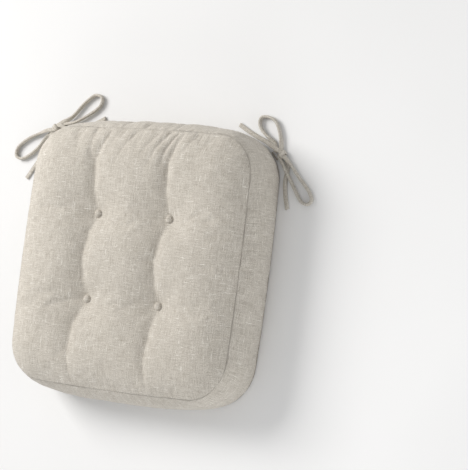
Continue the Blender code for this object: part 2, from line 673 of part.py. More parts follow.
def make_ties(parts, base):
    left = make_pivot("tie_left_axis", -1, parts)
    right = make_pivot("tie_right_axis", 1, parts)
    make_strap("tie_left_back", moved(LEFT_BACK_ROUTE, LEFT_BOW_SHIFT), -1, parts, left)
    make_strap("tie_left_side", moved(LEFT_SIDE_ROUTE, LEFT_BOW_SHIFT), -1, parts, left)
    make_strap("tie_right_back", RIGHT_BACK_ROUTE, 1, parts, right)
    make_strap("tie_right_side", RIGHT_SIDE_ROUTE, 1, parts, right)
    make_knot("tie_left_knot", LEFT_KNOT, -1, LEFT_KNOT_LAYERS, parts, left)
    make_knot("tie_right_knot", RIGHT_KNOT, 1, RIGHT_KNOT_LAYERS, parts, right)
    make_bartack("tie_left_bartack", -1, LEFT_BARTACK_SHIFT, parts, base)
    make_bartack("tie_right_bartack", 1, RIGHT_BARTACK_SHIFT, parts, base)


def main():
    clear_scene()
    parts = make_collection("chair_seat_pad")
    cutters = make_collection("cutters")
    base = bpy.data.objects.new("pad_base", None)
    top = bpy.data.objects.new("pad_top", None)
    parts.objects.link(base)
    parts.objects.link(top)
    make_top_panel(parts, cutters, top)
    make_wadding(parts, cutters, top)
    make_boxing(parts, base)
    make_bottom_panel(parts, cutters, base)
    make_foam(parts, cutters, base)
    make_buttons(parts, cutters, top)
    make_twines(parts, base)
    make_anchors(parts, cutters, base)
    make_seam_threads(parts, base, top)
    make_ties(parts, base)


main()
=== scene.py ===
"""Chair seat pad: linen cover with tufted top, boxed sides and tie bows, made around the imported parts."""
import math

import bmesh
import bpy
import numpy as np
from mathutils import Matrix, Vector, noise
from mathutils.kdtree import KDTree


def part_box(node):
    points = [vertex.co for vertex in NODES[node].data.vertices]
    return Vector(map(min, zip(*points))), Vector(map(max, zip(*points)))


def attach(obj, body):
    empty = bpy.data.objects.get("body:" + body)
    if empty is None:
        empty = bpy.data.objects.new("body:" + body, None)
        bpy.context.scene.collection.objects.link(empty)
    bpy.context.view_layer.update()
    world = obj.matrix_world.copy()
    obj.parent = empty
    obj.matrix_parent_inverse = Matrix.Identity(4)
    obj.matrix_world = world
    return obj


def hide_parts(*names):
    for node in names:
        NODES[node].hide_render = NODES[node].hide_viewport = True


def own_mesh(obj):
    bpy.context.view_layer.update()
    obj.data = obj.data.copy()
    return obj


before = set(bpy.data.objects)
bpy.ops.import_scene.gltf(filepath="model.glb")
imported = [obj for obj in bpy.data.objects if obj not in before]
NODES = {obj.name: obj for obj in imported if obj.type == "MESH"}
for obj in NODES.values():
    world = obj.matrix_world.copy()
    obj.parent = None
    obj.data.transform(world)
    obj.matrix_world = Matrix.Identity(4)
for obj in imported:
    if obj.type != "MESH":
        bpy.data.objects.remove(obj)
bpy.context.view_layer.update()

# ---- Pad, in metres ----
SIDE_BOW = 0.005            # how far each side bows out at its middle
SEAM_RADIUS = 0.058         # corner radius at the top seam
BOTTOM_SPREAD = 0.004       # how much further out the bottom seam lies than the top seam
CLOTH = 0.0012
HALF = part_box("top_panel")[1].x - SIDE_BOW
SEAM_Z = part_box("top_panel")[0].z + CLOTH
BUTTON_RADIUS = (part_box("button_cap_1")[1].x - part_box("button_cap_1")[0].x) / 2
TUFTS = [sum(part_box(f"button_cap_{i}"), Vector()) / 2 for i in range(1, 5)]

# ---- Filled shape of the cover ----
CROWN = 0.0240              # height of the lobes above the top seam
CROWN_REACH = 0.070         # distance from the seam over which the top rises
CROWN_ROUND = 2.4           # how fast it rises at first
BULGE = 0.0130              # how far the boxing swells out at half height
CORNER_BULGE = 0.35         # share of that swell left at the corners
TUFT_CUSP = 0.86            # less than 1 for a steep start right beside the button
TUFT_FALL = 0.024           # how gently the top rises again around a button
SEAT_MARGIN = 0.0015
SEAM_DRAW = 0.0012          # how far the sewn seam is drawn in
SLIT = 0.0008               # opening of the sewn seam line
WADDING = 0.008             # thickness of the wadding under the top panel
WADDING_FIT = 0.0024        # room above and below the wadding
BUTTON_SINK = 0.0024        # how far the buttons are drawn into the filling
SHANK_ROOM = 0.006          # hole in the wadding round each button's shank
CREASE_EDGE = 0.03          # how rounded a crease is at its deepest line, in its half widths
DIP_EDGE = 0.8
GATHER_EDGE = 0.15
SEAM_TURN_IN = 0.0022       # how far the cloth's edge is turned in at a seam
SEAM_ROUND = 0.0004         # rounding of the cloth where it turns in
DISC_PULL = 0.014           # distance over which the underside is drawn up round an anchor disc

# ---- Puckers beside the seams: spacing along the seam, reach from it, size, and seed ----
TOP_PUCKERS = ((0.0085, 0.005, 0.0006, 2.0), (0.021, 0.011, 0.0009, 7.0))
BOXING_PUCKERS = ((0.0085, 0.006, 0.0004, 2.0), (0.024, 0.014, 0.0007, 11.0))
BOTTOM_PUCKERS = ((0.018, 0.010, 0.0007, 5.0),)

# ---- Filling, as cloth under pressure ----
FILL_PRESSURE = 4.0
FILL_SLACK = 0.012          # spare cloth, as a share of its size
FILL_CAP = 0.007            # how far any point may move
FILL_STEPS = 20
CREASE_HOLD = 22            # how firmly a metre of crease depth holds the cloth
CREASE_HOLD_MOST = 0.6

# ---- Fineness ----
CELLS = 132                 # grid cells across the top, a multiple of 4
RIM = 4 * CELLS
BOTTOM_CELLS = 64
BOXING_RINGS = 24
RIM_CROWDING = 0.22         # how much closer the grid lines lie near the seam

# ---- Stitching: spacing, length and thread radius ----
SEAM_STITCH = (0.0034, 0.0030, 0.00028)
TIE_STITCH = (0.0027, 0.0022, 0.00019)
BAR_STITCH = (0.00042, 0.0020, 0.00026)
BAR_REACH = 0.0079          # half the length of a bar tack

# ---- Ties ----
TIE_WIDTH = 0.0070
TIE_THICKNESS = 0.0030
TIE_PLUMP = 0.5             # how much thicker the straps are where they stand on edge
LAYER = 0.0018              # rise from one layer of strap to the next in a knot
WRAP_THICKNESS = 0.0024
WRAP_TURNS = 1.55
WRAP_DRIFT = 0.0042         # how far the wrap moves along the bow in its turns
WRAP_RISE = 0.0012          # from the bundle to the middle of the wrap, above and beside it
WRAP_SIDE = 0.0010
WRAP_STEPS = 60

# Routes of the straps from root to tail end, the same as the CAD's: (along, out, z, turn),
# in mm along the corner's tangent and out from its bottom seam, and degrees of turn,
# where 0 stands on edge and 90 lies flat.
LEFT_BACK_ROUTE = (
    (-4.4, 5.4, 2.0, 90), (-5.0, 9.0, 2.0, 90), (-9.0, 18.0, 2.2, 90), (-16.5, 28.5, 3.4, 90),
    (-19.5, 36.0, 4.5, 90), (-14.2, 38.9, 4.7, 90), (-9.2, 38.9, 4.7, 90), (-4.2, 38.9, 4.7, 90),
    (4.0, 35.0, 4.8, 75), (24.7, 20.5, 5.7, 15), (52.0, 11.5, 5.0, 5), (76.0, 8.5, 4.1, 0),
    (87.0, 17.0, 4.1, 0), (80.0, 29.5, 4.1, 0), (58.0, 33.0, 4.3, 5), (25.5, 31.5, 5.2, 20),
    (6.0, 37.0, 6.3, 80), (-4.2, 39.0, 6.5, 90), (-9.2, 38.9, 6.5, 90), (-14.2, 38.8, 6.5, 90),
    (-23.0, 37.0, 5.8, 90), (-33.0, 31.0, 2.4, 90), (-46.0, 25.5, 1.1, 90), (-78.5, 19.0, 1.1, 90),
    (-105.4, 13.4, 1.1, 90),
)
LEFT_SIDE_ROUTE = (
    (4.4, 5.4, 2.0, 90), (4.8, 16.0, 2.0, 90), (5.0, 29.0, 2.2, 90), (2.5, 37.0, 2.7, 90),
    (-4.2, 38.9, 2.9, 90), (-9.2, 38.9, 2.9, 90), (-14.2, 38.9, 2.9, 90), (-22.0, 40.0, 2.9, 88),
    (-36.0, 39.5, 4.3, 45), (-54.0, 37.0, 4.6, 10), (-76.0, 39.0, 4.1, 0), (-92.0, 45.0, 4.1, 0),
    (-98.0, 56.0, 4.1, 0), (-88.0, 65.5, 4.1, 0), (-66.0, 64.0, 4.2, 5), (-44.5, 56.5, 4.8, 20),
    (-25.0, 46.5, 8.4, 84), (-14.2, 39.0, 8.3, 90), (-9.2, 38.9, 8.3, 90), (-4.2, 38.8, 8.3, 90),
    (1.0, 33.5, 8.6, 90), (4.0, 25.0, 7.0, 90), (10.0, 16.0, 5.0, 90), (22.0, 7.0, 2.4, 90),
    (38.0, -1.0, 1.1, 90), (55.0, -8.0, 1.1, 90), (71.4, -13.4, 1.1, 90),
)
RIGHT_BACK_ROUTE = (
    (-2.1, 5.8, 2.0, 90), (-1.0, 9.0, 2.0, 90), (6.0, 13.5, 2.0, 90), (14.0, 14.0, 2.6, 70),
    (24.0, 12.0, 4.6, 20), (38.0, 11.0, 4.8, 0), (50.0, 13.5, 4.2, 0), (56.0, 22.0, 4.1, 0),
    (49.0, 31.0, 4.1, 0), (38.0, 36.0, 4.1, 0), (25.5, 35.5, 4.1, 0), (8.0, 28.5, 4.2, 20),
    (-2.5, 21.5, 4.2, 70), (-10.5, 15.8, 4.7, 90), (-15.5, 15.5, 4.7, 90), (-20.5, 15.3, 4.7, 90),
    (-27.0, 13.8, 2.6, 90), (-35.0, 9.5, 1.1, 90), (-43.0, 1.5, 1.1, 90), (-51.0, -8.0, 1.1, 90),
    (-68.0, -20.0, 1.1, 90), (-87.0, -30.5, 1.1, 90),
)
RIGHT_SIDE_ROUTE = (
    (-10.9, 6.1, 2.0, 90), (-12.2, 8.6, 2.8, 65), (-19.0, 8.0, 4.4, 15), (-28.0, 7.0, 5.7, 0),
    (-40.0, 4.5, 5.8, 0), (-53.0, 2.1, 4.8, 0), (-76.0, -2.0, 4.1, 0), (-94.0, -4.5, 4.1, 0),
    (-105.0, 0.5, 4.1, 0), (-106.0, 9.5, 4.1, 0), (-96.0, 14.5, 4.1, 0), (-80.0, 15.5, 4.1, 0),
    (-64.3, 15.2, 4.2, 0), (-45.0, 15.8, 4.8, 20), (-30.0, 16.2, 6.0, 65), (-20.5, 15.6, 6.5, 90),
    (-15.5, 15.5, 6.5, 90), (-10.5, 15.4, 6.5, 90), (-5.0, 13.6, 6.6, 90), (1.0, 11.2, 5.4, 90),
    (7.0, 9.4, 4.2, 90), (15.0, 6.6, 2.6, 90), (24.0, 3.6, 1.3, 90), (37.0, -2.0, 1.1, 90),
    (55.0, -8.5, 1.1, 90), (75.0, -14.5, 1.1, 90),
)
ROOT_POINTS = 2             # the first points of a route lie at the bartack and stay there
LEFT_BOW_SHIFT = (-4.0, 6.0)    # the rest of the left bow is moved by this, along and out, in mm
KNOTS = {"left": ((-13.2, 44.9, 5.6), 4), "right": ((-15.7, 15.9, 5.6), 2)}   # centre and layers
TIE_RING_SPACING = 0.0025

# Lines pressed into the filled top, each of (x, y, depth, half width) in mm:
# creases from front to back through the buttons, broad dips across, and gathers at the back seam.
CREASES = (
    ((-72, -197, 2, 14), (-83, -150, 9, 14), (-83, -108, 13, 12), (-67, -67, 17, 10),
     (-76, -35, 16, 10), (-80, 0, 13, 12), (-76, 35, 16, 10), (-67, 67, 17, 10),
     (-76, 105, 13, 12), (-74, 150, 9, 12), (-58, 193, 3, 9)),
    ((70, -197, 1, 16), (62, -150, 8, 15), (62, -105, 13, 12), (67, -67, 17, 10),
     (58, -35, 17, 10), (54, 0, 15, 12), (58, 35, 17, 10), (67, 67, 17, 10),
     (59, 105, 15, 11), (61, 150, 11, 9), (76, 193, 5, 6)),
)
DIPS = (
    ((-190, 58, 0, 26), (-120, 62, 3.5, 26), (-67, 67, 9, 24), (0, 66, 5, 25), (67, 67, 9, 24),
     (120, 64, 4, 26), (190, 62, 0, 26)),
    ((-190, -76, 0, 26), (-120, -71, 3.5, 26), (-67, -67, 9, 24), (0, -69, 5, 25), (67, -67, 9, 24),
     (120, -66, 4, 26), (190, -64, 0, 26)),
)
GATHERS = (
    ((-122, 192, 1.6, 5), (-110, 166, 1.0, 7), (-96, 134, 0, 9)),
    ((-88, 197, 2.6, 4), (-86, 168, 2.0, 6), (-77, 128, 0, 8)),
    ((-40, 199, 1.8, 4), (-50, 172, 1.4, 7), (-63, 130, 0, 9)),
    ((-8, 199, 2.6, 4), (-23, 172, 2.2, 6), (-42, 128, 0, 10)),
    ((33, 199, 2.2, 4), (17, 174, 1.6, 6), (3, 138, 0, 9)),
    ((51, 199, 3.6, 3.5), (36, 172, 3.0, 5), (18, 122, 0, 10)),
    ((66, 198, 4.6, 3), (53, 172, 4.2, 4), (45, 130, 0, 8)),
    ((104, 196, 2.2, 4), (88, 172, 1.6, 6), (78, 142, 0, 9)),
    ((133, 191, 1.4, 5), (118, 168, 0.8, 7), (104, 146, 0, 9)),
)


# ---- Camera, light and floor ----
PAD_MIDDLE = Vector((0, 0, 0.04))


def make_camera():
    lens = bpy.data.cameras.new("camera")
    lens.sensor_width = 36.0
    lens.lens = 153.2
    camera = bpy.data.objects.new("camera", lens)
    camera.location = (1.7740, -0.1594, 2.5979)
    camera.rotation_euler = (math.radians(8.581), math.radians(31.412), math.radians(8.588))
    bpy.context.scene.collection.objects.link(camera)
    bpy.context.scene.camera = camera


def area_light(name, place, size, power, colour):
    """A square soft light aimed at the middle of the pad."""
    lamp = bpy.data.lights.new(name, "AREA")
    lamp.size = size
    lamp.energy = power
    lamp.color = colour
    light = bpy.data.objects.new(name, lamp)
    light.location = place
    light.rotation_euler = (PAD_MIDDLE - light.location).to_track_quat("-Z", "Y").to_euler()
    bpy.context.scene.collection.objects.link(light)


def make_studio():
    area_light("key", (-1.45, 0.72, 1.30), 1.0, 39.5, (1.0, 0.985, 0.965))
    area_light("front_fill", (0.4, -2.6, 0.7), 1.6, 19.0, (0.97, 0.985, 1.0))
    area_light("right_fill", (2.4, -0.5, 0.5), 1.2, 11.0, (0.98, 0.99, 1.0))
    world = bpy.data.worlds.new("studio")
    world.use_nodes = True
    sky = world.node_tree.nodes["Background"].inputs
    sky["Color"].default_value = (1.0, 1.0, 1.0, 1.0)
    sky["Strength"].default_value = 0.52
    bpy.context.scene.world = world
    bpy.context.scene.view_settings.view_transform = "Standard"


def make_floor():
    """A sheet of white paper, with painted shade greying it towards the back left, on the key lamp's side.
    """
    bpy.ops.mesh.primitive_plane_add(size=40)
    floor = bpy.context.object
    floor.name = "floor"
    floor.location.z = -0.0002
    paper = Finish("floor_paper")
    speck = paper.noise(paper.object_place(), 3.0, 2.0)
    tone = paper.ramp(speck, (0.3, (0.93, 0.93, 0.93)), (0.7, (0.95, 0.95, 0.95)))
    # Painted shade: the ramp below greys the paper towards the back left, the key lamp's side, to even out
    # its light on the floor.
    place = paper.add("ShaderNodeSeparateXYZ", Vector=paper.object_place()).outputs
    right, back = paper.maths("MULTIPLY", place["X"], 0.9), paper.maths("MULTIPLY", place["Y"], 0.45)
    away = paper.maths("SUBTRACT", right, back)
    painted_floor_shade = paper.ramp(paper.maths("ADD", away, 0.5), (0.0, (0.74, 0.74, 0.74)), (1.0, (1.0, 1.0, 1.0)))
    paper.surface(paper.mixed(1.0, tone, painted_floor_shade, "MULTIPLY"), roughness=0.9)
    floor.data.materials.append(paper.material)


# ---- Finishes ----
class Finish:
    """A material built node by node."""

    def __init__(self, name):
        self.material = bpy.data.materials.new(name)
        self.material.use_nodes = True
        self.tree = self.material.node_tree
        self.shader = self.tree.nodes["Principled BSDF"]

    def add(self, kind, settings=None, **inputs):
        made = self.tree.nodes.new(kind)
        for name, value in (settings or {}).items():
            setattr(made, name, value)
        for name, value in inputs.items():
            self.feed(made.inputs[int(name[1:])] if name[0] == "_" else made.inputs[name], value)
        return made

    def feed(self, socket, value):
        if isinstance(value, bpy.types.NodeSocket):
            self.tree.links.new(value, socket)
        else:
            socket.default_value = value

    def object_place(self):
        return self.add("ShaderNodeTexCoord").outputs["Object"]

    def cloth_place(self):
        return self.add("ShaderNodeUVMap", {"uv_map": "cloth"}).outputs["UV"]

    def maths(self, operation, first, second=0.0):
        return self.add("ShaderNodeMath", {"operation": operation}, _0=first, _1=second).outputs[0]

    def scaled(self, place, x, y, shift=0.0):
        """The place in cloth widths: x and y are the lengths of one step of the pattern."""
        return self.add("ShaderNodeMapping", Vector=place, Scale=(1 / x, 1 / y, 1.0),
                        Location=(shift, shift, 0.0)).outputs["Vector"]

    def noise(self, place, scale, detail, distortion=0.0):
        return self.add("ShaderNodeTexNoise", Vector=place, Scale=scale, Detail=detail,
                        Distortion=distortion).outputs["Fac"]

    def ramp(self, factor, *stops):
        made = self.add("ShaderNodeValToRGB", Fac=factor)
        band = made.color_ramp
        for stop, (position, colour) in zip((band.elements[0], band.elements[1]), (stops[0], stops[-1])):
            stop.position = position
            stop.color = (*colour, 1.0)
        for position, colour in stops[1:-1]:
            band.elements.new(position).color = (*colour, 1.0)
        return made.outputs["Color"]

    def mixed(self, factor, first, second, blend="MIX"):
        made = self.add("ShaderNodeMix", {"data_type": "RGBA", "blend_type": blend})
        self.feed(made.inputs[0], factor)
        self.feed(made.inputs[6], first)
        self.feed(made.inputs[7], second)
        return made.outputs[2]

    def darkened(self, tone, factor, *stops):
        """The tone multiplied by a ramp of the factor."""
        return self.mixed(1.0, tone, self.ramp(factor, *stops), "MULTIPLY")

    def surface(self, colour, roughness, bump=None, depth=0.0003, sheen=0.0, metallic=0.0):
        self.feed(self.shader.inputs["Base Color"], colour)
        self.feed(self.shader.inputs["Roughness"], roughness)
        self.shader.inputs["Metallic"].default_value = metallic
        self.shader.inputs["Sheen Weight"].default_value = sheen
        self.shader.inputs["Sheen Roughness"].default_value = 0.5
        self.shader.inputs["Specular IOR Level"].default_value = 0.25
        if bump is not None:
            made = self.add("ShaderNodeBump", Height=bump, Distance=depth, Strength=1.0)
            self.feed(self.shader.inputs["Normal"], made.outputs["Normal"])


def yarns(finish, place, thickness, length, seed):
    """Soft streaks along the yarns of one direction."""
    return finish.noise(finish.scaled(place, thickness, length, seed), 1.0, 2.0)


def linen_finish(name, dark, light, slub, pitch=0.0011):
    """Heathered plain weave: yarns of uneven tone both ways, light slubs and a fine relief."""
    cloth = Finish(name)
    place = cloth.cloth_place()
    warp = yarns(cloth, place, 0.0009, 0.024, 1.7)
    weft = yarns(cloth, place, 0.020, 0.0009, 5.3)
    heather = cloth.maths("MULTIPLY", cloth.maths("ADD", warp, weft), 0.5)
    tone = cloth.ramp(heather, (0.36, dark), (0.64, light))
    warp_slub = yarns(cloth, place, 0.0010, 0.024, 9.1)
    weft_slub = yarns(cloth, place, 0.020, 0.0010, 12.9)
    lightest = cloth.maths("MAXIMUM", warp_slub, weft_slub)
    slubs = cloth.ramp(lightest, (0.65, (0.0, 0.0, 0.0)), (0.70, (1.0, 1.0, 1.0)))
    tone = cloth.mixed(slubs, tone, (*slub, 1.0))
    deepest = cloth.maths("MINIMUM", yarns(cloth, place, 0.0014, 0.008, 15.0),
                          yarns(cloth, place, 0.007, 0.0014, 18.0))
    tone = cloth.darkened(tone, deepest, (0.28, (0.72, 0.69, 0.65)), (0.37, (1.0, 1.0, 1.0)))
    speck, patch = cloth.noise(place, 900.0, 0.0), cloth.noise(place, 22.0, 2.0)
    tone = cloth.darkened(tone, speck, (0.36, (0.76, 0.75, 0.73)), (0.62, (1.0, 1.0, 1.0)))
    tone = cloth.darkened(tone, patch, (0.3, (0.965, 0.965, 0.96)), (0.7, (1.0, 1.0, 1.0)))
    weave = cloth.scaled(place, pitch / math.pi, pitch / math.pi)
    turns = cloth.add("ShaderNodeSeparateXYZ", Vector=weave).outputs
    over = cloth.maths("MULTIPLY", cloth.maths("SINE", turns["X"]), cloth.maths("SINE", turns["Y"]))
    relief = cloth.maths("ADD", cloth.maths("MULTIPLY", over, 0.4), cloth.maths("MULTIPLY", heather, 2.0))
    relief = cloth.maths("ADD", relief, cloth.maths("MULTIPLY", lightest, 1.2))
    rough = cloth.maths("ADD", cloth.maths("MULTIPLY", heather, 0.2), 0.78)
    cloth.surface(tone, rough, relief, 0.00035, sheen=0.15)
    return cloth.material


def thread_finish(name, dark, light):
    thread = Finish(name)
    twist = thread.add("ShaderNodeTexWave", {"bands_direction": "DIAGONAL"}, Vector=thread.object_place(),
                       Scale=900.0, Distortion=1.5)
    tone = thread.ramp(twist.outputs["Fac"], (0.2, dark), (0.8, light))
    thread.surface(tone, 0.75, twist.outputs["Fac"], 0.0001)
    return thread.material


def foam_finish():
    foam = Finish("seat_foam")
    cells = foam.add("ShaderNodeTexVoronoi", Vector=foam.object_place(), Scale=700.0)
    tone = foam.ramp(cells.outputs["Distance"], (0.0, (0.60, 0.52, 0.34)), (0.6, (0.88, 0.82, 0.64)))
    foam.surface(tone, 0.95, cells.outputs["Distance"], 0.0006)
    return foam.material


def wadding_finish():
    wadding = Finish("fibre_wadding")
    fibres = wadding.noise(wadding.object_place(), 260.0, 6.0, distortion=2.5)
    tone = wadding.ramp(fibres, (0.3, (0.74, 0.74, 0.72)), (0.7, (0.93, 0.93, 0.91)))
    wadding.surface(tone, 0.98, fibres, 0.0008)
    return wadding.material


def nylon_finish():
    nylon = Finish("moulded_nylon")
    grain = nylon.noise(nylon.object_place(), 500.0, 3.0)
    tone = nylon.ramp(grain, (0.3, (0.70, 0.69, 0.65)), (0.7, (0.78, 0.77, 0.73)))
    nylon.surface(tone, 0.42, grain, 0.00008)
    return nylon.material


def steel_finish():
    steel = Finish("plated_steel")
    rub = steel.noise(steel.object_place(), 420.0, 4.0)
    rough = steel.maths("ADD", steel.maths("MULTIPLY", rub, 0.25), 0.22)
    tone = steel.ramp(rub, (0.3, (0.50, 0.50, 0.52)), (0.7, (0.62, 0.62, 0.64)))
    steel.surface(tone, rough, metallic=1.0)
    return steel.material


PAD_TONES = ((0.50, 0.458, 0.398), (0.74, 0.697, 0.63), (0.95, 0.92, 0.86))     # dark, light and slub yarns
TIE_TONES = ((0.52, 0.485, 0.425), (0.74, 0.705, 0.645), (0.90, 0.87, 0.81))
LINEN = linen_finish("cover_linen", *PAD_TONES)
BUTTON_LINEN = linen_finish("button_linen", *PAD_TONES, 0.0010)
TIE_LINEN = linen_finish("tie_linen", *TIE_TONES, 0.0009)
# Painted shade: dark linen for the straps' cut tail ends, standing in for the shade on them.
TAIL_END_SHADE = linen_finish("tail_end_shade", (0.10, 0.09, 0.07), (0.22, 0.19, 0.16), (0.30, 0.27, 0.23))
THREAD = thread_finish("sewing_thread", (0.34, 0.29, 0.23), (0.52, 0.46, 0.38))
TWINE = thread_finish("tuft_twine", (0.46, 0.42, 0.34), (0.64, 0.60, 0.50))


# ---- Mesh helpers ----
def stands_for(piece, body, node):
    """Put a finished piece on its body in place of its plain part."""
    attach(piece, body)
    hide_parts(node)


def gives_with_seat(piece):
    """Give the piece its own copy of its mesh."""
    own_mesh(piece)


def link(name, mesh, *materials):
    piece = bpy.data.objects.new(name, mesh)
    bpy.context.scene.collection.objects.link(piece)
    mesh.materials.clear()
    for material in materials:
        mesh.materials.append(material)
    return piece


def mesh_of(name, points, faces):
    mesh = bpy.data.meshes.new(name)
    mesh.from_pydata([tuple(p) for p in points], [], faces)
    mesh.shade_smooth()
    return mesh


def corners_of(mesh):
    """The point that each corner of the mesh's faces uses."""
    corners = np.zeros(len(mesh.loops), np.int32)
    mesh.loops.foreach_get("vertex_index", corners)
    return corners


def lay_cloth(mesh, places):
    """Give each corner of the mesh its place on the flat cloth."""
    layer = mesh.uv_layers.new(name="cloth")
    layer.data.foreach_set("uv", np.asarray(places, np.float32).ravel())


def points_of(mesh):
    flat = np.zeros(len(mesh.vertices) * 3)
    mesh.vertices.foreach_get("co", flat)
    return flat.reshape(-1, 3)


def flat_tree(places):
    """A search tree of places as seen from above."""
    tree = KDTree(len(places))
    for i, place in enumerate(places):
        tree.insert((place[0], place[1], 0.0), i)
    tree.balance()
    return tree


def finished(piece, name):
    """A plain mesh of the piece with its modifiers applied."""
    depsgraph = bpy.context.evaluated_depsgraph_get()
    mesh = bpy.data.meshes.new_from_object(piece.evaluated_get(depsgraph), depsgraph=depsgraph)
    bpy.data.objects.remove(piece)
    mesh.name = name
    return mesh


# ---- Pad outline ----
def outline(share, offset):
    """Points at shares of the way round the pad, anticlockwise from the middle of the right side."""
    radius = SEAM_RADIUS + offset
    straight = HALF + offset - radius
    arc = radius * math.pi / 2
    quarter, step = np.divmod(np.asarray(share, float) % 1.0 * 4, 1.0)
    run = step * (2 * straight + arc)
    angle = np.clip((run - straight) / radius, 0, math.pi / 2)
    x = straight + radius * np.cos(angle) - np.maximum(run - straight - arc, 0)
    y = np.minimum(run, straight) + radius * np.sin(angle)
    turn = quarter * math.pi / 2
    x, y = x * np.cos(turn) - y * np.sin(turn), x * np.sin(turn) + y * np.cos(turn)
    across, along = x / HALF, y / HALF
    return np.stack([x + SIDE_BOW * across * np.maximum(1 - along ** 2, 0),
                     y + SIDE_BOW * along * np.maximum(1 - across ** 2, 0)], -1)


def corner_share(share):
    """How near a place of the outline is to a corner: 0 at the middle of a side, 1 at a corner."""
    return np.abs(np.sin(4 * math.pi * np.asarray(share))) ** 4


def outward(share):
    """Unit direction out of the pad at shares of its outline."""
    step = outline(share, 0.001) - outline(share, 0.0)
    return step / np.linalg.norm(step, axis=-1, keepdims=True)


def seam_distance(x, y):
    """Rough distance from a point on the top to the seam."""
    side_x = HALF + SIDE_BOW * np.maximum(1 - (y / HALF) ** 2, 0) - np.abs(x)
    side_y = HALF + SIDE_BOW * np.maximum(1 - (x / HALF) ** 2, 0) - np.abs(y)
    into_x, into_y = np.maximum(SEAM_RADIUS - side_x, 0), np.maximum(SEAM_RADIUS - side_y, 0)
    at_corner = (side_x < SEAM_RADIUS) & (side_y < SEAM_RADIUS)
    nearest = np.where(at_corner, SEAM_RADIUS - np.hypot(into_x, into_y), np.minimum(side_x, side_y))
    return np.maximum(nearest, 0)


def seam_length():
    return float(np.linalg.norm(np.diff(outline(np.arange(RIM + 1) / RIM, 0.0), axis=0), axis=1).sum())


# ---- Filled top ----
def crease_depth(line, x, y, sharpness):
    """Depth pressed in by one crease at each point."""
    line = np.array(line) / 1000
    deepest = np.zeros_like(x)
    for (ax, ay, ad, aw), (bx, by, bd, bw) in zip(line, line[1:]):
        dx, dy = bx - ax, by - ay
        t = np.clip(((x - ax) * dx + (y - ay) * dy) / (dx * dx + dy * dy), 0, 1)
        away = np.hypot(x - ax - t * dx, y - ay - t * dy) / (aw + (bw - aw) * t)
        rounded = np.sqrt(away ** 2 + sharpness ** 2) - sharpness
        deepest = np.maximum(deepest, (ad + (bd - ad) * t) * np.exp(-rounded))
    return deepest


def top_height(x, y):
    """Height of the filled top above the seam: a crown pressed in by the tufts and creases."""
    rise = np.minimum(seam_distance(x, y) / CROWN_REACH, 1)
    height = CROWN * (1 - (1 - rise) ** CROWN_ROUND)
    left = np.ones_like(x)
    for place in TUFTS:
        away = np.maximum(np.hypot(x - place.x, y - place.y) - BUTTON_RADIUS - SEAT_MARGIN, 0)
        left *= 1 - np.exp(-(away / TUFT_FALL) ** TUFT_CUSP)
    for line in CREASES:
        left *= 1 - crease_depth(line, x, y, CREASE_EDGE) / CROWN
    for line in DIPS:
        left *= 1 - crease_depth(line, x, y, DIP_EDGE) / CROWN
    return height * left


def grid_shares(s, t):
    """Share of the outline that each grid point's ray meets."""
    ring = np.maximum(np.maximum(np.abs(s), np.abs(t)), 1e-9)
    sides = np.where(np.abs(s) >= np.abs(t), np.where(s > 0, t / ring / 8, 0.5 - t / ring / 8),
                     np.where(t > 0, 0.25 - s / ring / 8, 0.75 + s / ring / 8))
    return sides % 1.0, ring


def rim_indices():
    """Grid points on the rim, in the order of the outline's shares."""
    found = []
    for i in range(RIM):
        side, step = divmod((i + CELLS // 2) % RIM, CELLS)
        column, row = ((CELLS, step), (CELLS - step, CELLS), (0, CELLS - step), (step, 0))[side]
        found.append(row * (CELLS + 1) + column)
    return found


def panel_grid(cells, half, offset):
    """A square grid whose rim is bent to the outline: places, shares of the outline, rings and faces."""
    lines = np.linspace(-1, 1, cells + 1)
    lines = lines * (1 + RIM_CROWDING) - RIM_CROWDING * lines ** 3
    s, t = np.meshgrid(lines, lines)
    s, t = s.ravel(), t.ravel()
    share, ring = grid_shares(s, t)
    rim = outline(share, offset) * ring[:, None]
    blend = (ring ** 5)[:, None]
    flat = np.stack([s, t], -1) * half * (1 - blend) + rim * blend
    row = cells + 1
    faces = [(b * row + a, b * row + a + 1, (b + 1) * row + a + 1, (b + 1) * row + a)
             for b in range(cells) for a in range(cells)]
    return flat, share, ring, faces


def cover_points():
    """Points and faces of the top panel and the boxing, joined at the seam, and the panel's rings."""
    flat, _, ring, faces = panel_grid(CELLS, HALF, -SEAM_DRAW)
    points = [np.column_stack([flat, SEAM_Z + top_height(flat[:, 0], flat[:, 1])])]
    loop = rim_indices()
    shares = np.arange(RIM) / RIM
    swell = BULGE * (1 - (1 - CORNER_BULGE) * corner_share(shares))
    for k in range(1, BOXING_RINGS + 1):
        down = 0.5 - 0.5 * math.cos(math.pi * k / BOXING_RINGS)
        spread = BOTTOM_SPREAD * down + swell * 4 * down * (1 - down)
        spread -= SEAM_DRAW * abs(1 - 2 * down) ** 6
        ring_points = outline(shares, spread)
        height = np.full((RIM, 1), SEAM_Z * (1 - down) + CLOTH * down)
        points.append(np.hstack([ring_points, height]))
        start = len(flat) + (k - 1) * RIM
        below = [start + i for i in range(RIM)]
        faces += [(loop[i], below[i], below[(i + 1) % RIM], loop[(i + 1) % RIM]) for i in range(RIM)]
        loop = below
    return np.vstack(points), faces, ring


